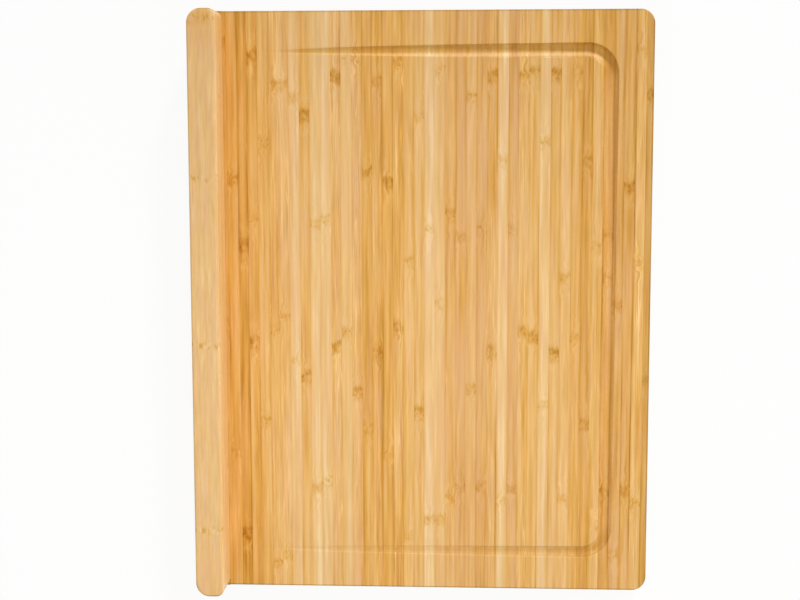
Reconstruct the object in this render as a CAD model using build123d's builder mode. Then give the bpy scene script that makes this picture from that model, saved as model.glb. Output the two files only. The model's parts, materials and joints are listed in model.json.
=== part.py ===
"""A bamboo cutting board with one raised lip, which hooks over the front edge of a counter.

The panel is a row of narrow bamboo strips, stood on edge and glued side by side. A lip of flat
bamboo layers is glued on its face along one long edge. A juice groove runs round the other three
sides: its two long runs start at nothing near the lip, and get deeper and wider towards the free
edge. The run at the far end (+Y) goes deeper than the run at the near end (-Y), so that juice
gathers in one corner.

Frame: the underside lies on Z = 0 and the working face looks to +Z. X runs across the strips,
from the lip (-X) to the free edge (+X), and Y runs along them. All sizes are in millimetres.
"""

import os

from build123d import *

# Panel
board_length = 457.2
board_width = 355.6
board_thickness = 19.0
strip_width = 8.14
corner_radius = 11.0
edge_rounding = 1.2

# Lip
lip_width = 22.0
lip_layer_thickness = 8.0
lip_layer_count = 4
lip_inner_corner_radius = 6.0
lip_edge_rounding = 2.0

# Juice groove, cut by a round-nosed cutter that sinks as it goes
groove_inset_from_ends = 31.0
groove_inset_from_free_edge = 32.8
groove_far_depth = 3.8
groove_near_depth = 2.0
groove_cutter_radius = 6.35
groove_corner_radius = 18.0
groove_start_from_lip = 36.0
groove_run_in = 5.0

# Places worked out from the sizes above
lip_side = -board_width / 2
free_side = board_width / 2
lip_foot = lip_side + lip_width
strip_count = round(board_width / strip_width)
groove_start = lip_foot + groove_start_from_lip
groove_turn = free_side - groove_inset_from_free_edge
groove_run_offset = board_length / 2 - groove_inset_from_ends


def write_piece(piece, label):
    """Labels one finished piece and writes it to its own STEP file."""
    piece.part.label = label
    export_step(piece.part, f"parts/{label}.step")


def cutter_point(x, y, depth_at_turn):
    """The centre of the cutter's round nose on the run at y, which sinks steadily up to its turn."""
    sunk = depth_at_turn * (x - groove_start) / (groove_turn - groove_start)
    return (x, y, board_thickness + groove_cutter_radius - sunk)


def make_groove_cutter():
    """The space that the cutter sweeps, from above the face at one end to above it at the other."""
    above_face = groove_start - groove_run_in
    with BuildPart() as cutter:
        with BuildLine() as path:
            FilletPolyline(
                cutter_point(above_face, groove_run_offset, groove_far_depth),
                cutter_point(groove_turn, groove_run_offset, groove_far_depth),
                cutter_point(groove_turn, -groove_run_offset, groove_near_depth),
                cutter_point(above_face, -groove_run_offset, groove_near_depth),
                radius=groove_corner_radius,
            )
        with BuildSketch(Plane(origin=path.line @ 0, z_dir=path.line % 0)):
            Circle(groove_cutter_radius)
        sweep(path=path.line)
    return cutter


def make_glued_panel():
    """The panel as it comes from the press and the saw, with its underside edges eased."""
    with BuildPart() as panel:
        with BuildSketch(Plane.XY):
            RectangleRounded(board_width, board_length, corner_radius)
        extrude(amount=board_thickness)
        fillet(panel.edges().group_by(Axis.Z)[0], edge_rounding)
    return panel


def make_worked_panel(panel):
    """The panel with the groove cut and its open top edges eased, but none under the lip."""
    with BuildPart() as open_side:
        add(panel.part)
        fillet(open_side.edges().group_by(Axis.Z)[-1], edge_rounding)
        add(make_groove_cutter().part, mode=Mode.SUBTRACT)
        split(bisect_by=Plane.YZ.offset(lip_foot), keep=Keep.TOP)
    with BuildPart() as worked:
        add(panel.part)
        split(bisect_by=Plane.YZ.offset(lip_foot), keep=Keep.BOTTOM)
        add(open_side.part)
    return worked


def make_strip(worked, number, left, right):
    """One bamboo strip, full thickness and full length, between two glue lines."""
    with BuildPart() as strip:
        add(worked.part)
        with Locations(((left + right) / 2, 0, board_thickness / 2)):
            Box(right - left, board_length, board_thickness, mode=Mode.INTERSECT)
    write_piece(strip, f"strip_{number:02d}")


def make_lip_layer(number):
    """One flat layer of the lip, counted up from the panel's face; the last has eased top edges."""
    seat = board_thickness + (number - 1) * lip_layer_thickness
    with BuildPart() as layer:
        with BuildSketch(Plane.XY.offset(seat)) as footprint:
            with Locations((lip_side + lip_width / 2, 0)):
                Rectangle(lip_width, board_length)
            fillet(footprint.vertices().group_by(Axis.X)[0], corner_radius)
            fillet(footprint.vertices().group_by(Axis.X)[-1], lip_inner_corner_radius)
        extrude(amount=lip_layer_thickness)
        if number == lip_layer_count:
            fillet(layer.edges().group_by(Axis.Z)[-1], lip_edge_rounding)
    write_piece(layer, f"lip_layer_{number}")


os.makedirs("parts", exist_ok=True)

worked_panel = make_worked_panel(make_glued_panel())

# Full strips are laid from the lip side, and the strip at the free edge is sawn to what is left.
glue_lines = [lip_side + strip_width * full for full in range(1, strip_count)]
strip_sides = [lip_side, *glue_lines, free_side]
for strip_number in range(1, strip_count + 1):
    make_strip(
        worked_panel,
        strip_number,
        strip_sides[strip_number - 1],
        strip_sides[strip_number],
    )

for layer_number in range(1, lip_layer_count + 1):
    make_lip_layer(layer_number)
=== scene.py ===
import json
import math
from typing import NamedTuple

import bpy
from mathutils import Euler, Matrix, Vector


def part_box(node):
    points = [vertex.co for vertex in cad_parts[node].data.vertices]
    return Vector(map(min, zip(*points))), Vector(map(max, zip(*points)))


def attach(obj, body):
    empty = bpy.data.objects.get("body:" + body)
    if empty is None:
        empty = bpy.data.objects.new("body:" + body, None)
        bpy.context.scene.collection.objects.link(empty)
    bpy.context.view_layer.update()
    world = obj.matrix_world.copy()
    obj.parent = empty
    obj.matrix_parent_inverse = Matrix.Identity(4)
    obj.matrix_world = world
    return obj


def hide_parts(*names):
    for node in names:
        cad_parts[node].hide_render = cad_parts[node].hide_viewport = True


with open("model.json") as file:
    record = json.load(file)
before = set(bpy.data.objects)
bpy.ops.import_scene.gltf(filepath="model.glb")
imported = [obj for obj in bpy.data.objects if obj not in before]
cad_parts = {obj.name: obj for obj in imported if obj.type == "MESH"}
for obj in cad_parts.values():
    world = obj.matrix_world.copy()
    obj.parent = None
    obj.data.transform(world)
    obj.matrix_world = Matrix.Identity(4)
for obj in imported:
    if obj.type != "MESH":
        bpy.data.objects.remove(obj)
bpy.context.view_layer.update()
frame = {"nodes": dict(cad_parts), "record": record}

# Sizes in metres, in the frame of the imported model. Its underside lies on Z = 0, X runs across the
# strips from the lip to the free edge, and Y runs along them.
MM = 0.001

# Shaped edges and the juice groove, as the joiner cuts them
corner_radius = 11.0 * MM
edge_rounding = 1.2 * MM
lip_inner_corner_radius = 6.0 * MM
lip_edge_rounding = 2.0 * MM
groove_inset_from_ends = 31.0 * MM
groove_inset_from_free_edge = 32.8 * MM
groove_far_depth = 3.8 * MM
groove_near_depth = 2.0 * MM
groove_cutter_radius = 6.35 * MM
groove_corner_radius = 18.0 * MM
groove_start_from_lip = 36.0 * MM
groove_rim_softness = 0.12 * MM
crease_angle = 35

# Each block has four levels of points: its two faces, and one a wall step inside each of them
block_levels = 4
wall_step = 0.1 * MM

# Rows of faces along a piece: from its end to its middle, each zone is a length and a row count.
# The approach fills what is left between the end zone and the groove's zone.
end_zone = (2.0 * MM, 9)
approach_zone_rows = 4
groove_zone = (14.0 * MM, 34)
bend_zone = (14.0 * MM, 16)
middle_rows = 28
strip_columns = 14
bend_strip_columns = 26
lip_columns = 44

# Places worked out from the frame
strip_names = sorted(name for name in frame["nodes"] if name.startswith("strip_"))
layer_names = sorted(name for name in frame["nodes"] if name.startswith("lip_layer_"))
panel_low = Vector(map(min, *(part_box(name)[0] for name in strip_names)))
panel_high = Vector(map(max, *(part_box(name)[1] for name in strip_names)))
board_length = panel_high.y - panel_low.y
board_width = panel_high.x - panel_low.x
face_height = panel_high.z
lip_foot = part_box(layer_names[0])[1].x
lip_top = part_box(layer_names[-1])[1].z
groove_start = lip_foot + groove_start_from_lip
groove_turn = panel_high.x - groove_inset_from_free_edge
groove_run_offset = board_length / 2 - groove_inset_from_ends
slot_of = {part["node"]: part["material_slot"] for part in frame["record"]["subparts"]}


class Wire:
    """An output in a node tree. Arithmetic on wires adds the Math nodes that it needs."""

    def __init__(self, tree, socket=None):
        self.tree = tree
        self.socket = socket

    def node(self, kind, sockets=None, out=0, stops=None, **settings):
        """Adds a node: its settings first, then a value or a wire for each socket. Gives one output."""
        made = self.tree.nodes.new(kind)
        for name, value in settings.items():
            setattr(made, name, value)
        if stops:
            ramp = made.color_ramp.elements
            ramp.remove(ramp[1])
            for order, (place, color) in enumerate(stops):
                stop = ramp.new(place) if order else ramp[0]
                stop.position = place
                stop.color = (*color, 1)
        for name, value in (sockets or {}).items():
            if isinstance(value, Wire):
                self.tree.links.new(value.socket, made.inputs[name])
            else:
                made.inputs[name].default_value = value
        return Wire(self.tree, made.outputs[out]) if made.outputs else None

    def also(self, name):
        """Another output of the same node."""
        return Wire(self.tree, self.socket.node.outputs[name])

    def maths(self, operation, *others, clamp=False):
        return self.node(
            "ShaderNodeMath", dict(enumerate((self, *others))), operation=operation, use_clamp=clamp
        )

    def __add__(self, other):
        return self.maths("ADD", other)

    def __sub__(self, other):
        return self.maths("SUBTRACT", other)

    def __rsub__(self, other):
        return self.node("ShaderNodeMath", {0: other, 1: self}, operation="SUBTRACT")

    def __mul__(self, other):
        return self.maths("MULTIPLY", other)

    def __truediv__(self, other):
        return self.maths("DIVIDE", other)

    def __gt__(self, other):
        return self.maths("GREATER_THAN", other)

    def __lt__(self, other):
        return self.maths("LESS_THAN", other)

    def __neg__(self):
        return self.maths("MULTIPLY", -1)

    def __abs__(self):
        return self.maths("ABSOLUTE")

    __radd__ = __add__
    __rmul__ = __mul__

    def largest(self, other):
        return self.maths("MAXIMUM", other)

    def smallest(self, other):
        return self.maths("MINIMUM", other)

    def root(self):
        return self.largest(0).maths("SQRT")

    def clamped(self):
        return self.maths("ADD", 0, clamp=True)


def bell(wire):
    """1 where the wire is 0, and smoothly down to nothing either side of it."""
    return (-(wire * wire)).maths("EXPONENT")


# ---------------------------------------------------------------------------------------------
# Shapes: one node tree makes every strip and every layer of the lip
# ---------------------------------------------------------------------------------------------

def spread_over(row, zones):
    """How far along a row of vertices lies, when each zone of (length, rows) shares its rows evenly."""
    place, passed = 0, 0
    for length, rows in zones:
        share = ((row - passed) / rows).clamped()
        place = share * length + place
        passed += rows
    return place


def rounding_drop(depth, radius):
    """How far a rounded edge has fallen away, at a depth inside the outline."""
    short = (radius - depth).largest(0)
    return radius - (radius * radius - short * short).root()


def glued_piece_tree():
    """A slab between two straight sides, cut from a rounded rectangle, with eased edges and a groove."""
    tree = bpy.data.node_groups.new("glued_piece", "GeometryNodeTree")
    tree.is_modifier = True
    interface = tree.interface
    interface.new_socket("Geometry", in_out="INPUT", socket_type="NodeSocketGeometry")
    for name in (
        "Left", "Width", "Seat", "Thickness", "Block Left", "Block Width", "Block Length",
        "Left Corner", "Right Corner", "Top Rounding", "Bottom Rounding", "Rounded From",
        "Far Depth", "Near Depth",
    ):
        interface.new_socket(name, in_out="INPUT", socket_type="NodeSocketFloat")
    interface.new_socket("Columns", in_out="INPUT", socket_type="NodeSocketInt")
    interface.new_socket("Material", in_out="INPUT", socket_type="NodeSocketMaterial")
    interface.new_socket("Geometry", in_out="OUTPUT", socket_type="NodeSocketGeometry")
    given = Wire(tree).node("NodeGroupInput").also
    half_length = given("Block Length") / 2

    # Rows from one end to the other
    approach = groove_inset_from_ends - groove_zone[0] / 2 - end_zone[0]
    half_zones = [end_zone, (approach, approach_zone_rows), groove_zone, bend_zone]
    rest = board_length - 2 * sum(length for length, _ in half_zones)
    zones = [*half_zones, (rest, middle_rows), *reversed(half_zones)]
    row_count = sum(rows for _, rows in zones)

    block = given("Left").node(
        "GeometryNodeMeshCube",
        {
            "Size": (1, 1, 1),
            "Vertices X": given("Columns") + 1,
            "Vertices Y": row_count + 1,
            "Vertices Z": block_levels,
        },
    )
    spot = block.node("ShaderNodeSeparateXYZ", {0: block.node("GeometryNodeInputPosition")})
    across = (1 - ((spot + 0.5) * math.pi).maths("COSINE")) / 2
    x = given("Left") + across * given("Width")

    # The outline's two ends follow the corner radius of the nearer side
    middle = given("Block Left") + given("Block Width") / 2
    on_right = x > middle
    radius = given("Left Corner") + on_right * (given("Right Corner") - given("Left Corner"))
    from_side = given("Block Width") / 2 - abs(x - middle)
    into_corner = (radius - from_side).largest(0)
    end = half_length - radius + (radius * radius - into_corner * into_corner).root()
    along = spread_over((spot.also("Y") + 0.5) * row_count, zones) / (board_length / 2) - 1
    y = along * end

    # How deep a point lies inside the outline
    beside = abs(x - middle) - given("Block Width") / 2 + radius
    beyond = abs(y) - half_length + radius
    outside_x, outside_y = beside.largest(0), beyond.largest(0)
    reach = (outside_x * outside_x + outside_y * outside_y).root()
    depth = radius - reach - beside.largest(beyond).smallest(0)

    # The groove: a round-nosed cutter that sinks steadily on its way from the lip to its turn
    bend_x = x - (groove_turn - groove_corner_radius)
    bend_y = abs(y) - (groove_run_offset - groove_corner_radius)
    bend_out_x, bend_out_y = bend_x.largest(0), bend_y.largest(0)
    bend_reach = (bend_out_x * bend_out_x + bend_out_y * bend_out_y).root()
    off_path = abs(bend_reach + bend_x.largest(bend_y).smallest(0) - groove_corner_radius)
    run = (x - groove_start) / (groove_turn - groove_start)
    towards_far = (y / (2 * groove_run_offset) + 0.5).clamped()
    depth_at_turn = given("Near Depth") + towards_far * (given("Far Depth") - given("Near Depth"))
    sunk = run.smallest(1) * depth_at_turn
    nose = (groove_cutter_radius * groove_cutter_radius - off_path * off_path).root()
    cut = nose - groove_cutter_radius + sunk
    soft_cut = (cut + (cut * cut + groove_rim_softness * groove_rim_softness).root()) / 2
    # The softened rim fades out a little way before the groove's start
    past_start = run > -0.05
    groove = soft_cut * (given("Far Depth") > 0) * past_start

    eased = given("Top Rounding") * (x > given("Rounded From"))
    top = given("Seat") + given("Thickness") - rounding_drop(depth, eased) - groove
    bottom = given("Seat") + rounding_drop(depth, given("Bottom Rounding"))
    upper = spot.also("Z") > 0
    inner = abs(spot.also("Z")) < 0.3
    z = bottom + wall_step * inner + upper * (top - bottom - 2 * wall_step * inner)

    placed = block.node(
        "GeometryNodeSetPosition",
        {"Geometry": block, "Position": block.node("ShaderNodeCombineXYZ", {0: x, 1: y, 2: z})},
    )
    soft = placed.node("GeometryNodeSetShadeSmooth", {"Geometry": placed, "Shade Smooth": True})
    angle = soft.node("GeometryNodeInputMeshEdgeAngle", out="Unsigned Angle")
    creased = soft.node(
        "GeometryNodeSetShadeSmooth",
        {"Geometry": soft, "Selection": angle > math.radians(crease_angle), "Shade Smooth": False},
        domain="EDGE",
    )
    real = creased.node("GeometryNodeRealizeInstances", {"Geometry": creased})
    finished = real.node(
        "GeometryNodeSetMaterial", {"Geometry": real, "Material": given("Material")}
    )
    finished.node("NodeGroupOutput", {"Geometry": finished})
    return tree


def glued_piece(name, tree, material, sizes):
    """Evaluates the tree with one piece's sizes, and keeps the result as a plain mesh."""
    piece = bpy.data.objects.new(name, bpy.data.meshes.new(name))
    bpy.context.scene.collection.objects.link(piece)
    shaping = piece.modifiers.new("shaping", "NODES")
    shaping.node_group = tree
    wanted = {**sizes, "Material": material}
    for socket in tree.interface.items_tree:
        if socket.in_out == "INPUT" and socket.name in wanted:
            shaping[socket.identifier] = wanted[socket.name]
    bpy.context.view_layer.update()
    shaped = piece.evaluated_get(bpy.context.evaluated_depsgraph_get())
    plain = bpy.data.meshes.new_from_object(shaped)
    plain.name = name
    piece.modifiers.remove(shaping)
    piece.data = plain
    return piece


# ---------------------------------------------------------------------------------------------
# Bamboo: colours, and the figures in its grain
# ---------------------------------------------------------------------------------------------

def linear(red, green, blue):
    """A display colour of 0 to 255 as the linear one that the shaders take."""
    shares = (value / 255 for value in (red, green, blue))
    return tuple(s / 12.92 if s <= 0.04045 else ((s + 0.055) / 1.055) ** 2.4 for s in shares)


# Bamboo from the brown of a node to the palest pith, and where each finish lies between them
bamboo_tones = [
    (0.00, linear(146, 84, 8)),
    (0.14, linear(178, 116, 22)),
    (0.24, linear(195, 135, 42)),
    (0.32, linear(208, 149, 60)),
    (0.40, linear(219, 159, 74)),
    (0.48, linear(226, 169, 89)),
    (0.56, linear(229, 177, 104)),
    (0.64, linear(233, 184, 116)),
    (0.74, linear(235, 190, 127)),
    (0.82, linear(237, 195, 136)),
    (1.00, linear(246, 214, 168)),
]
tone_of_slot = {
    "bamboo_caramel": 0.39,
    "bamboo_amber": 0.48,
    "bamboo_honey": 0.55,
    "bamboo_wheat": 0.64,
    "bamboo_straw": 0.74,
    "bamboo_cream": 0.82,
    "lip_bamboo": 0.76,
}
pink_bamboo = linear(231, 177, 143)
olive_bamboo = linear(224, 186, 96)
golden_stain = (0.90, 0.81, 0.50)
node_stain = (0.70, 0.60, 0.36)
# An oil stain, which is also used as painted shade in the groove and along the rounded edges
oil_and_shade_stain = (0.88, 0.80, 0.50)

# The sanded surface under its light oil: its gloss, its roughness, how deep its pores are, and its
# brightness
oil_gloss = 0.22
sanded_roughness = 0.46
pore_depth = 0.12 * MM
surface_brightness = 0.99


class Figure(NamedTuple):
    """A figure in the grain, made of noise."""

    size: tuple  # in mm across, along and down a piece
    seed_step: float  # how far its seed steps on from the piece's own
    detail: float = 1.0
    distortion: float = 0.0


pore_figure = Figure((0.7, 22, 0.7), 0.7, detail=3)

# The grain of a strip that stands on edge
broad_figure = Figure((3.6, 140, 6), 0)
streak_figure = Figure((2.2, 85, 3), 0.3, detail=0)
fibre_figure = Figure((0.9, 30, 1.2), 0.5, detail=2)
vein_figure = Figure((3.0, 140, 6), 5.3, detail=0)
glint_figure = Figure((2.4, 100, 6), 8.3, detail=0)
cloud_figure = Figure((2.6, 40, 5), 6.1)
blush_figure = Figure((4.5, 60, 9), 3.1, detail=0)
liveliness_figure = Figure((10, 70, 9), 7.3)
sway_figure = Figure((6, 9, 8), 4.1)
ripple_figure = Figure((1.7, 3.2, 2), 2.1, distortion=1.0)
glue_figure = Figure((8, 200, 9), 2.7, detail=3)
mark_bend_figure = Figure((5, 16, 9), 0.9)
mark_blotch_figure = Figure((4.2, 6.5, 5), 1.3)
mark_fleck_figure = Figure((1.6, 2.8, 3), 1.7)

# The flat grain of the lip
lip_broad_figure = Figure((5, 90, 6), 0)
lip_streak_figure = Figure((1.4, 42, 1.4), 0.3, detail=3)
lip_fibre_figure = Figure((0.8, 9, 0.8), 0.5, detail=2)
lip_vein_figure = Figure((3.4, 60, 3.4), 5.3, detail=0)
lip_cloud_figure = Figure((3, 20, 5), 6.1, detail=2)
lip_blush_figure = Figure((5, 40, 9), 3.1)
lip_bend_figure = Figure((6, 20, 12), 0.9, detail=2)
lip_speck_figure = Figure((1.5, 4.6, 1.5), 1.7)

# How wide a glue line shows, in mm: between strips, and between the layers of the lip
strip_glue_width = 1.6
lip_glue_width = 0.6

# Sides that lie closer than this, in mm, are one side
same_side = 0.1


def figured(coords, figure, seed):
    """A figure's noise, about 0."""
    placed = coords.node(
        "ShaderNodeMapping",
        {
            "Vector": coords,
            "Location": tuple((seed + figure.seed_step) * apart for apart in (7.31, 3.17, 5.73)),
            "Scale": tuple(1 / length for length in figure.size),
        },
    )
    field = placed.node(
        "ShaderNodeTexNoise",
        {
            "Vector": placed,
            "Scale": 1.0,
            "Detail": figure.detail,
            "Distortion": figure.distortion,
        },
        noise_dimensions="3D",
    )
    return field - 0.5


def thin_lines(field, sharpness):
    """1 along the thin lines where a figure's noise crosses 0, and 0 away from them."""
    return (1 - abs(field) * sharpness).clamped()


def smooth(wire, low, high):
    """0 at the low end and 1 at the high end, with a smooth step between; the ends may be swapped."""
    return wire.node(
        "ShaderNodeMapRange",
        {"Value": wire, "From Min": low, "From Max": high},
        interpolation_type="SMOOTHSTEP",
    )


def glue_line(distance, width):
    """1 in a glue line, fading to 0 a width away from it."""
    return (1 - distance / width).clamped()


def nearest_mark(y, marks):
    """The place and the strength of the node mark that is nearest along the piece."""
    marks = sorted(marks)
    place, strength = marks[0]
    for (low, weak), (high, strong) in zip(marks, marks[1:]):
        past = y > (low + high) / 2
        place = past * (high - low) + place
        strength = past * (strong - weak) + strength
    return place, strength


def dyed(color, share, dye):
    """The colour, with a share of it from 0 to 1 turned to the dye."""
    return color.node(
        "ShaderNodeMix",
        {"Factor": share.clamped(), "A": color, "B": (*dye, 1)},
        out="Result", data_type="RGBA",
    )


def stained(color, share, stain):
    """The colour, darkened by a share of the stain from 0 to 1."""
    dark = color.node("ShaderNodeVectorMath", {0: color, 1: stain}, operation="MULTIPLY")
    return color.node(
        "ShaderNodeMix",
        {"Factor": share.clamped(), "A": color, "B": dark},
        out="Result", data_type="RGBA",
    )


# ---------------------------------------------------------------------------------------------
# Bamboo: the finish of a strip and of a layer of the lip, with painted light and shade in the groove,
# at the edges and on the lip's sides. A tone runs from 0, the brown of a node, to 1, the palest pith,
# and a dim is a share of the light that is lost.
# ---------------------------------------------------------------------------------------------

class Spot:
    """Where a point of a piece lies, in millimetres, and which way its surface faces."""

    def __init__(self, tree):
        place = Wire(tree).node("ShaderNodeTexCoord", out="Object")
        self.coords = place.node(
            "ShaderNodeVectorMath", {0: place, 1: (1 / MM, 1 / MM, 1 / MM)}, operation="MULTIPLY"
        )
        self.x = self.coords.node("ShaderNodeSeparateXYZ", {0: self.coords})
        self.y = self.x.also("Y")
        self.z = self.x.also("Z")
        self.facing_x = place.node("ShaderNodeSeparateXYZ", {0: place.also("Normal")})
        self.facing_y = self.facing_x.also("Y")
        # 1 on a face that looks to either end, and 0 on one that slopes to it by 37 degrees or less
        self.end_grain = (abs(self.facing_y) * 4 - 2.4).clamped()
        self.from_far_end = board_length / MM / 2 - self.y
        self.from_near_end = board_length / MM / 2 + self.y
        self.from_either_end = board_length / MM / 2 - abs(self.y)
        self.from_free_edge = panel_high.x / MM - self.x


def bare_material(name):
    """A new material with no nodes but those that say where a spot on the piece lies."""
    material = bpy.data.materials.new(name)
    material.use_nodes = True
    material.node_tree.nodes.clear()
    return material, Spot(material.node_tree)


def finish_bamboo(spot, seed, tone, dim, blush, brown, oil_and_shade, grain=1.0):
    """Turns the tone into bamboo's colour, sanded and lightly oil-finished; the oil stain also paints
    shade.
    """
    pores = figured(spot.coords, pore_figure, seed) * grain
    tone = tone + pores * 0.03
    color = tone.node("ShaderNodeValToRGB", {"Fac": tone}, stops=bamboo_tones)
    color = dyed(color, blush, pink_bamboo)
    color = dyed(color, -blush, olive_bamboo)
    # A weak node mark is golden, and only a strong one turns brown
    color = stained(color, brown * 2.2, golden_stain)
    color = stained(color, brown * brown, node_stain)
    # The oil stain: real oil in end grain and glue lines, and painted shade in the groove and at the
    # edges
    color = stained(color, oil_and_shade, oil_and_shade_stain)
    color = color.node(
        "ShaderNodeVectorMath",
        {0: color, "Scale": surface_brightness - dim + pores * 0.16},
        operation="SCALE",
    )
    relief = color.node(
        "ShaderNodeBump", {"Strength": 0.25, "Distance": pore_depth, "Height": pores + tone * 0.4}
    )
    shader = color.node(
        "ShaderNodeBsdfPrincipled",
        {
            "Base Color": color,
            "Roughness": sanded_roughness + pores * 0.25 + dim * 0.4,
            "Normal": relief,
            "Specular IOR Level": oil_gloss,
        },
    )
    shader.node("ShaderNodeOutputMaterial", {"Surface": shader})


def swayed(coords, past_node, seed):
    """Coordinates that follow the fibres, which run straight and sway to one side at a node."""
    sway = figured(coords, sway_figure, seed) * (bell(past_node / 14) * 10 + 1)
    aside = sway.node("ShaderNodeCombineXYZ", {0: sway})
    return coords.node("ShaderNodeVectorMath", {0: coords, 1: aside}, operation="ADD")


def strip_grain(coords, fibres, grain, seed):
    """Broad tones and streaks, with fibres, dark veins, pale glints and soft clouds in them."""
    liveliness = (figured(coords, liveliness_figure, seed) * 3 + 1).largest(0.45) * grain
    broad = figured(coords, broad_figure, seed)
    streak = figured(fibres, streak_figure, seed)
    fibre = figured(fibres, fibre_figure, seed) * liveliness
    vein = thin_lines(figured(fibres, vein_figure, seed), 22)
    glint = thin_lines(figured(fibres, glint_figure, seed), 26) * liveliness
    cloud = figured(fibres, cloud_figure, seed)
    tone = broad * 0.40 + streak * 0.36 + fibre * 0.05 - vein * 0.02 + cloud * 0.12 + glint * 0.04
    dim = vein * 0.03 - cloud * 0.22 - fibre * 0.14 - glint * 0.04
    return tone, dim


def strip_glue(spot, left, right, glue_on_left, glue_on_right, seed):
    """How far the nearest glue line is, and how strongly it shows; the free edge has none."""
    on_left = spot.x - left
    on_right = right - spot.x
    glued_on_right = right < panel_high.x / MM - same_side
    distance = on_left.smallest(on_right) if glued_on_right else on_left
    unbroken = (figured(spot.coords, glue_figure, seed) * 3.5 + 0.75).clamped()
    darkness = (on_left < on_right) * (glue_on_left - glue_on_right) + glue_on_right
    return distance, unbroken * glue_line(distance, strip_glue_width) * darkness


def strip_node(coords, past_node, strength, glue_distance, ripple, seed):
    """A node mark, as its brown and what it adds to the tone.

    It is a golden brown patch over the strip's full width, darker along its head and at the glue,
    with a few dark spots. Pale flames lie past both of its ends, and cross ripples round it.
    """
    # v runs along the mark from its middle, in mm on a mark of middling strength
    bent = figured(coords, mark_bend_figure, seed) * 9
    v = (past_node + bent) / (0.72 + strength * 0.12)
    blotch = figured(coords, mark_blotch_figure, seed)
    fleck = figured(coords, mark_fleck_figure, seed)
    patch = smooth(v, 8, 2.5) * smooth(v, -7.5, -3.5)
    head = bell((v - 2.5) / 1.8)
    flank = smooth(glue_distance, 1.2, 0.1) * bell(v / 6)
    spots = (fleck * 8 - 0.5).clamped() * bell(v / 4)
    brown = strength * (patch * (0.12 + blotch * 0.5) + head * 0.10 + flank * (0.06 + fleck * 0.4))
    brown = (brown + spots * (0.32 + strength * 0.10)).clamped() * 0.97
    flames = bell((v + 12) / 5) + bell((v - 12) / 5) * 0.6
    waves = figured(coords, ripple_figure, seed)
    tone = strength * flames * (0.012 + blotch * 0.10) - blotch * bell(v / 7) * 0.2
    tone = tone + waves * (ripple + 0.04 * strength * bell(v / 14))
    return brown, tone


def groove_oil_and_painted_shading(spot):
    """Painted shade and painted highlight in the groove's two cross runs, over an oil stain in the cut.

    Each wall is painted by which way it faces the key lamp past the far end. In the far run, the wall
    that faces the far end, towards the lamp, is painted pale as a highlight, and the floor and the
    other wall are painted dark as shade. In the near run, the wall that faces the near end is painted
    bright and the rest is painted dark, which evens out the lamp's own shading there. Gives the oil
    and painted shade, the painted highlight as tone, and the painted light and shade as dimming.
    """
    clear_rim = 8
    inside = (spot.from_either_end > clear_rim) * (spot.from_free_edge > clear_rim)
    inset = groove_inset_from_ends / MM
    in_cross_run = smooth(spot.from_either_end, inset + 26, inset + 8)
    sunk = smooth(face_height / MM - spot.z, 0, 0.4) * inside * in_cross_run
    run = ((spot.x - groove_start / MM) / ((groove_turn - groove_start) / MM)).clamped()
    far, near = spot.y > 0, spot.y < 0
    slope = spot.facing_y

    # Painted shade over the oil stain, on the far run's floor and on its wall that faces away from the
    # lamp
    far_oil_and_shade = smooth(slope, 0.36, 0.06) * far
    # Painted shade over the oil stain, on the near run's floor, fading out towards the groove's start
    near_oil_and_shade = smooth(slope, -0.55, -0.1) * (0.85 - smooth(slope, 0, 0.3) * 0.5) * near
    near_oil_and_shade = near_oil_and_shade * (run * 2 - 0.6).clamped()
    # Painted highlight on the far run's wall that faces the lamp
    far_painted_highlight = smooth(slope, 0.25, 0.55) * far * 0.16
    # Painted shade on the near run's wall that faces the lamp, and painted light on its wall that faces
    # away
    near_painted_shading = smooth(slope, -0.2, 0.35) * 0.14 + smooth(slope, 0.4, 0.7) * 0.10
    near_painted_shading = near_painted_shading - smooth(slope, -0.1, -0.35) * (0.30 - run * 0.22)
    oil_and_shade = sunk * (far_oil_and_shade + near_oil_and_shade)
    return oil_and_shade, sunk * far_painted_highlight, sunk * (near_painted_shading * near + far_oil_and_shade * 0.05)


def strip_material(name, slot, seed, left, right, look, glue_on_left):
    """A narrow strip on edge: long streaks, fine fibres, glue lines at its sides and node marks."""
    material, spot = bare_material(name)
    place, strength = nearest_mark(spot.y, look.marks)
    past_node = spot.y - place
    fibres = swayed(spot.coords, past_node, seed)
    grain_tone, grain_dim = strip_grain(spot.coords, fibres, look.grain, seed)
    distance, glue = strip_glue(spot, left, right, glue_on_left, look.glue, seed)
    brown, node_tone = strip_node(spot.coords, past_node, strength, distance, look.ripple, seed)
    # Painted shade and painted highlight in the groove's cross runs, over an oil stain in the cut
    groove_oil_and_shade, groove_painted_highlight, groove_painted_shading = groove_oil_and_painted_shading(spot)
    # Painted shade along the rounded outline at the ends and the free edge: dimmed and given the oil
    # stain
    edge = smooth(spot.from_either_end.smallest(spot.from_free_edge), 1.7, 0.7)
    across = (spot.x - left) / (right - left)

    tone = tone_of_slot[slot] + look.shade + (across - 0.5) * look.lean + grain_tone
    tone = tone + node_tone + groove_painted_highlight - glue * 0.12
    dim = look.dim + grain_dim + glue * 0.03 + groove_painted_shading + edge * 0.26 + spot.end_grain * 0.08
    blush = figured(spot.coords, blush_figure, seed) * 0.6 + look.pink
    oil_and_shade = groove_oil_and_shade + edge * 0.3 + spot.end_grain
    finish_bamboo(spot, seed, tone, dim, blush, brown, oil_and_shade, look.grain)
    return material


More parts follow.
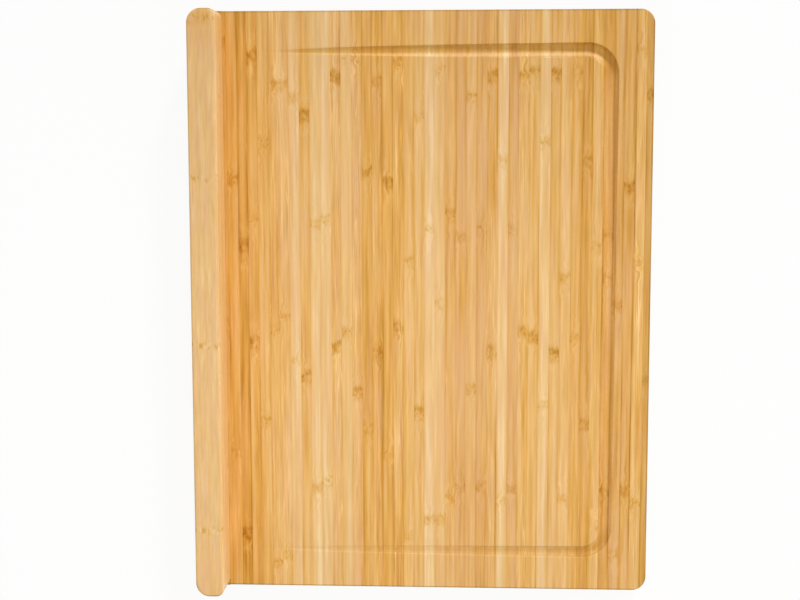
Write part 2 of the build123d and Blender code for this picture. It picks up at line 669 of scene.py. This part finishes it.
def lip_node(spot, marks, seed):
    """A node, which crosses the whole layer: short dark ticks, with pale ones between them."""
    bent = figured(spot.coords, lip_bend_figure, seed)
    place, strength = nearest_mark(spot.y, marks)
    v = spot.y - place + bent * 10
    speck = figured(spot.coords, lip_speck_figure, seed)
    ticks = bell(v / 2.7) * (speck * 7).clamped()
    glints = bell((v + 0.5) / 3.4) * (-speck * 6 - 0.3).clamped()
    tone = strength * (glints * 0.2 + bell((v + 8) / 6) * speck * 0.16)
    return strength * ticks * 0.6, tone, bent


def lip_material(name, seed, seat, top, shade, marks):
    """A flat layer of the lip: broad even grain with short dark fibres and nodes right across it."""
    material, spot = bare_material(name)
    # Painted light: the layer's sides are painted paler, more so towards the top, and olive low down
    # against the warm light bounced from the strips
    side = abs(spot.facing_x) * (1 - spot.end_grain)
    # Painted shade on the rounded edges, where the sides turn to the top, which holds back their
    # highlight
    eased = bell((side - 0.65) / 0.35)
    height = (spot.z - face_height / MM) / ((lip_top - face_height) / MM)
    far_end = smooth(spot.from_far_end, 45, 8)
    near_end = smooth(spot.from_near_end, 100, 10)
    # Painted shade at the rounded ends: dimmed and given the oil stain
    edge = smooth(spot.from_either_end, 1.8, 0.6)
    below_top_face = top < lip_top / MM - same_side
    above_seat = spot.z - seat
    from_glue = above_seat.smallest(top - spot.z) if below_top_face else above_seat
    seam = glue_line(from_glue, lip_glue_width)

    broad = figured(spot.coords, lip_broad_figure, seed)
    streak = figured(spot.coords, lip_streak_figure, seed)
    fibre = figured(spot.coords, lip_fibre_figure, seed)
    vein = thin_lines(figured(spot.coords, lip_vein_figure, seed), 16)
    cloud = figured(spot.coords, lip_cloud_figure, seed)
    node_brown, node_tone, bent = lip_node(spot, marks, seed)

    # A darker patch at the far end, on the half of the lip away from its foot
    foot = lip_foot / MM
    end_patch = smooth(spot.from_far_end, 15, 11) * smooth(spot.x, foot - 3, foot - 7)

    tone = tone_of_slot["lip_bamboo"] + shade + broad * 0.26 + streak * 0.42 + fibre * 0.22
    tone = tone + side * (height * 0.12 + 0.07) - eased * 0.10 - far_end * 0.10 + node_tone
    dim = 0.014 - side * (height * 0.02 + 0.18) + eased * 0.13
    dim = dim - far_end * 0.015 - near_end * 0.02 + end_patch * 0.03
    dim = dim + vein * 0.06 - cloud * 0.20 + seam * 0.14 + edge * 0.16
    blush = figured(spot.coords, lip_blush_figure, seed) * 0.9 + 0.12
    blush = blush - side * (0.32 - height * 0.12) + far_end * 0.06
    brown = node_brown + end_patch * (0.10 + bent * 0.5)
    oil_and_shade = seam * 0.5 + edge * 0.3 + spot.end_grain
    finish_bamboo(spot, seed, tone, dim, blush, brown, oil_and_shade)
    return material


# ---------------------------------------------------------------------------------------------
# What shows on each piece
# ---------------------------------------------------------------------------------------------

class StripLook(NamedTuple):
    """What shows on one strip, besides the bamboo that its slot names."""

    marks: list  # node marks, as (place along Y in mm, strength)
    shade: float = 0.0  # a nudge of its tone
    pink: float = 0.0  # its share of pink, or of olive where negative
    dim: float = 0.0  # how much darker it is
    lean: float = 0.0  # how much its tone rises from left to right
    ripple: float = 0.0  # how rippled its grain is all along
    grain: float = 1.0  # how strongly its fine grain shows
    glue: float = 1.0  # how dark the glue line on its right is


# How strongly fine grain shows on a calm strip and on a lively one
calm, lively = 0.5, 2.2

# The strips, counted from the lip
strip_looks = {
    1: StripLook([(150, 1), (-60, 1)]),
    2: StripLook([(70, 1), (-140, 1)]),
    3: StripLook([(205, 1), (-15, 1)], shade=0.13, pink=-0.05, dim=0.05),
    4: StripLook([(99, 2), (-120, 1)], pink=-0.05, lean=0.22),
    5: StripLook([(47, 3), (-186, 3)], shade=-0.02, pink=-0.03, dim=0.01),
    6: StripLook([(194, 3), (67, 0.5), (-30, 3)], shade=-0.02, pink=-0.04, lean=-0.1),
    7: StripLook([(127, 1), (-94, 1.5)], shade=0.03, pink=-0.05),
    8: StripLook([(171, 1), (-20, 1), (-210, 1.5)], shade=-0.02, pink=-0.03, lean=0.1, grain=lively),
    9: StripLook([(172, 1), (-10, 1), (-202, 1)], shade=-0.015, pink=0.05, ripple=0.05, grain=lively),
    10: StripLook(
        [(162, 1), (-44, 0.5)], shade=0.04, pink=0.1, lean=0.08, ripple=0.1, grain=calm, glue=1.5,
    ),
    11: StripLook([(148, 3), (-58, 2.5)], shade=0.02),
    12: StripLook([(64, 1), (-148, 1.5)], shade=-0.02, grain=calm, glue=1.4),
    13: StripLook([(67, 1), (-142, 1.5)], shade=-0.01, pink=0.05, grain=calm),
    14: StripLook([(178, 2.5), (-33, 2.5)], shade=-0.05, pink=0.12, grain=lively),
    15: StripLook([(192, 0.5), (-22, 1.5)], grain=calm),
    16: StripLook([(190, 0.5), (-71, 2)], shade=0.03, pink=0.12, lean=-0.06, ripple=0.1, grain=lively),
    17: StripLook([(104, 2), (-100, 1.5)], shade=-0.04, dim=-0.02, ripple=0.05, grain=calm),
    18: StripLook([(174, 1), (-38, 1.5)], shade=-0.02, pink=0.05, dim=-0.02, lean=-0.22, grain=lively),
    19: StripLook([(95, 2.5), (-120, 1)], shade=-0.03, dim=-0.04, grain=calm, glue=1.3),
    20: StripLook([(188, 1.5), (-18, 2)], shade=0.02, pink=0.05, dim=-0.02, lean=-0.15, grain=lively),
    21: StripLook([(34, 1), (-185, 0.5)], shade=-0.05, dim=-0.03),
    22: StripLook([(148, 1), (-87, 2.5)], shade=-0.02),
    23: StripLook([(60, 1), (-173, 1.5)], pink=0.1, grain=calm),
    24: StripLook([(182, 0.8), (2, 0.5), (-174, 1.2)], shade=-0.01, pink=0.1, grain=calm),
    25: StripLook([(72, 1.5), (-155, 1)], shade=-0.02, pink=0.12),
    26: StripLook([(54, 1.2), (-146, 0.8)], shade=-0.02, pink=0.22, dim=0.02, grain=calm, glue=1.4),
    27: StripLook([(163, 1.2), (-68, 1.5)], shade=-0.04, pink=0.12, ripple=0.1, grain=calm),
    28: StripLook([(61, 1), (-145, 1)], pink=0.2, dim=0.04),
    29: StripLook([(178, 2.5), (-37, 2)], pink=0.08, dim=0.02, grain=lively, glue=2.2),
    30: StripLook([(113, 1), (-157, 0.8)], pink=0.05, grain=calm),
    31: StripLook([(59, 1), (-147, 1)], shade=-0.02, pink=0.22, dim=0.04, grain=calm),
    32: StripLook([(178, 1.5), (-21, 2)], shade=-0.04, grain=lively),
    33: StripLook([(181, 2), (-25, 2.5)], shade=0.05, pink=-0.03, lean=-0.05, grain=calm, glue=1.8),
    34: StripLook([(128, 1), (-79, 0.8)], shade=-0.01, grain=calm),
    35: StripLook([(179, 2.5), (-39, 3)], shade=0.04, dim=0.02, lean=0.08, glue=1.3),
    36: StripLook([(22, 1.2), (-153, 1.2)], shade=-0.02, pink=0.03, ripple=0.05),
    37: StripLook([(180, 1), (-24, 1.2)], shade=-0.04, ripple=0.05),
    38: StripLook([(112, 1.5), (-94, 2)], shade=-0.05, pink=0.05, dim=0.02),
    39: StripLook([(46, 1), (-174, 0.8)], shade=0.01, grain=lively),
    40: StripLook(
        [(55, 1), (20, 1.2), (-149, 1.2)],
        shade=-0.04, pink=0.1, dim=0.03, ripple=0.1, grain=calm, glue=1.6,
    ),
    41: StripLook(
        [(0, 1.5), (-200, 1)], shade=0.025, pink=0.12, dim=0.04, ripple=0.1, grain=calm, glue=1.5,
    ),
    42: StripLook([(92, 2.5), (-148, 2)], shade=0.01, pink=0.12, dim=0.04, glue=2.6),
    43: StripLook([(197, 1), (33, 1), (-158, 1)], shade=-0.09, pink=-0.03, grain=lively),
    44: StripLook([(162, 2), (-60, 1.5)], shade=0.06, pink=-0.04, dim=0.11),
}

# Node marks on the top layer of the lip; then, for each layer counted up from the panel, a nudge of
# its tone and how much further along its own marks lie
lip_nodes = [(221, 0.8), (100, 0.8), (-28, 1.1), (-175, 1)]
lip_notes = {1: (0.04, 47), 2: (-0.04, -38), 3: (0.03, 63), 4: (0, 0)}
lip_seed = 60


# ---------------------------------------------------------------------------------------------
# The pieces
# ---------------------------------------------------------------------------------------------

shaping_tree = glued_piece_tree()
panel_sizes = {
    "Seat": panel_low.z,
    "Thickness": face_height - panel_low.z,
    "Block Left": panel_low.x,
    "Block Width": board_width,
    "Block Length": board_length,
    "Left Corner": corner_radius,
    "Right Corner": corner_radius,
    "Top Rounding": edge_rounding,
    "Bottom Rounding": edge_rounding,
    "Rounded From": lip_foot,
    "Far Depth": groove_far_depth,
    "Near Depth": groove_near_depth,
}


def strip(node, number):
    """One strip of the panel, from glue line to glue line."""
    low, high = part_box(node)
    glue_on_left = strip_looks[number - 1].glue if number > 1 else 1.0
    material = strip_material(
        f"bamboo_of_{node}", slot_of[node], number, low.x / MM, high.x / MM,
        strip_looks[number], glue_on_left,
    )
    in_bend = high.x > groove_turn - groove_corner_radius
    under_lip = low.x < lip_foot
    columns = bend_strip_columns if in_bend or under_lip else strip_columns
    sizes = {**panel_sizes, "Left": low.x, "Width": high.x - low.x, "Columns": columns}
    piece = glued_piece(f"{node}_dressed", shaping_tree, material, sizes)
    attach(piece, "root")
    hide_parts(node)


def lip_layer(node, number):
    """One flat layer of the lip."""
    low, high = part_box(node)
    shade, shift = lip_notes[number]
    marks = [(place + shift, strength) for place, strength in lip_nodes]
    material = lip_material(
        f"bamboo_of_{node}", lip_seed + number, low.z / MM, high.z / MM, shade, marks
    )
    sizes = {
        "Left": low.x,
        "Width": high.x - low.x,
        "Seat": low.z,
        "Thickness": high.z - low.z,
        "Block Left": low.x,
        "Block Width": high.x - low.x,
        "Block Length": high.y - low.y,
        "Left Corner": corner_radius,
        "Right Corner": lip_inner_corner_radius,
        "Top Rounding": lip_edge_rounding if node == layer_names[-1] else 0.0,
        "Bottom Rounding": 0.0,
        "Rounded From": low.x - MM,
        "Far Depth": 0.0,
        "Near Depth": 0.0,
        "Columns": lip_columns,
    }
    piece = glued_piece(f"{node}_dressed", shaping_tree, material, sizes)
    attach(piece, "root")
    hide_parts(node)


for number, node in enumerate(strip_names, 1):
    strip(node, number)
for number, node in enumerate(layer_names, 1):
    lip_layer(node, number)


# ---------------------------------------------------------------------------------------------
# The studio
# ---------------------------------------------------------------------------------------------

def looked_at(tree):
    """1 for what the camera sees, by itself or in a reflection, and 0 for the light on the board."""
    path = Wire(tree).node("ShaderNodeLightPath")
    return path.largest(path.also("Is Glossy Ray")).largest(path.also("Is Transmission Ray"))


def studio_floor(color, glow, reach):
    """A pale floor: the camera sees a share of it as plain white, and the rest keeps the shadow."""
    material = bpy.data.materials.new("pale_floor")
    material.use_nodes = True
    tree = material.node_tree
    tree.nodes.clear()
    matt = Wire(tree).node("ShaderNodeBsdfDiffuse", {"Color": (*color, 1)})
    white = matt.node("ShaderNodeEmission", {"Color": (1, 1, 1, 1), "Strength": 1.0})
    mixed = white.node("ShaderNodeMixShader", {"Fac": looked_at(tree) * glow, 1: matt, 2: white})
    mixed.node("ShaderNodeOutputMaterial", {"Surface": mixed})
    mesh = bpy.data.meshes.new("floor")
    corners = [(-reach, -reach, 0), (reach, -reach, 0), (reach, reach, 0), (-reach, reach, 0)]
    mesh.from_pydata(corners, [], [(0, 1, 2, 3)])
    mesh.materials.append(material)
    floor = bpy.data.objects.new("floor", mesh)
    bpy.context.scene.collection.objects.link(floor)


def studio_world(ambient, color):
    """Even light from all round; the camera sees plain white."""
    world = bpy.data.worlds.new("studio")
    bpy.context.scene.world = world
    world.use_nodes = True
    tree = world.node_tree
    tree.nodes.clear()
    lit = tuple(ambient * share for share in color)
    seen = Wire(tree).node(
        "ShaderNodeMix",
        {"Factor": looked_at(tree), "A": (*lit, 1), "B": (1, 1, 1, 1)},
        out="Result", data_type="RGBA",
    )
    sky = seen.node("ShaderNodeBackground", {"Color": seen, "Strength": 1.0})
    sky.node("ShaderNodeOutputWorld", {"Surface": sky})


def key_lamp(share, color, elevation, heading, softness):
    """A broad lamp past the far end of the board, at a low angle: its heading turns it towards +X."""
    lamp = bpy.data.lights.new("key", "SUN")
    lamp.energy = share * math.pi
    lamp.color = color
    lamp.angle = math.radians(softness)
    holder = bpy.data.objects.new("key", lamp)
    holder.rotation_euler = (math.radians(elevation - 90), 0, -math.radians(heading))
    bpy.context.scene.collection.objects.link(holder)


def fill_lamp(place, length, depth, power, color):
    """A long soft lamp straight over the board, across it, which faces down."""
    lamp = bpy.data.lights.new("fill", "AREA")
    lamp.shape = "RECTANGLE"
    lamp.size = length
    lamp.size_y = depth
    lamp.energy = power
    lamp.color = color
    holder = bpy.data.objects.new("fill", lamp)
    holder.location = place
    holder.visible_camera = False
    bpy.context.scene.collection.objects.link(holder)


def studio_camera(lens, turn, middle):
    """Looks almost straight down at the working face.

    The turn is how far the face is turned about the camera's three axes, in degrees, and the middle
    is where the face's middle lies in the camera's own frame, in metres.
    """
    camera = bpy.data.cameras.new("camera")
    camera.sensor_width = 36.0
    camera.lens = lens
    holder = bpy.data.objects.new("camera", camera)
    turned = Euler([math.radians(angle) for angle in turn]).to_matrix().to_4x4()
    seen = Matrix.Translation(middle) @ turned @ Matrix.Translation((0, 0, -face_height))
    holder.matrix_world = seen.inverted()
    bpy.context.scene.collection.objects.link(holder)
    bpy.context.scene.camera = holder


studio_floor(color=(0.92, 0.915, 0.91), glow=0.92, reach=6.0)
studio_world(ambient=0.465, color=(1.0, 0.99, 0.90))
key_lamp(share=0.60, color=(1.0, 1.04, 1.12), elevation=26, heading=22, softness=9)
fill_lamp(place=(0.22, -0.08, 0.50), length=1.2, depth=0.3, power=1.32, color=(1.0, 0.99, 0.92))
studio_camera(lens=65.1, turn=(6.51, -2.89, -0.23), middle=(0.01785, -0.00409, -1.13788))
bpy.context.scene.view_settings.view_transform = "Standard"
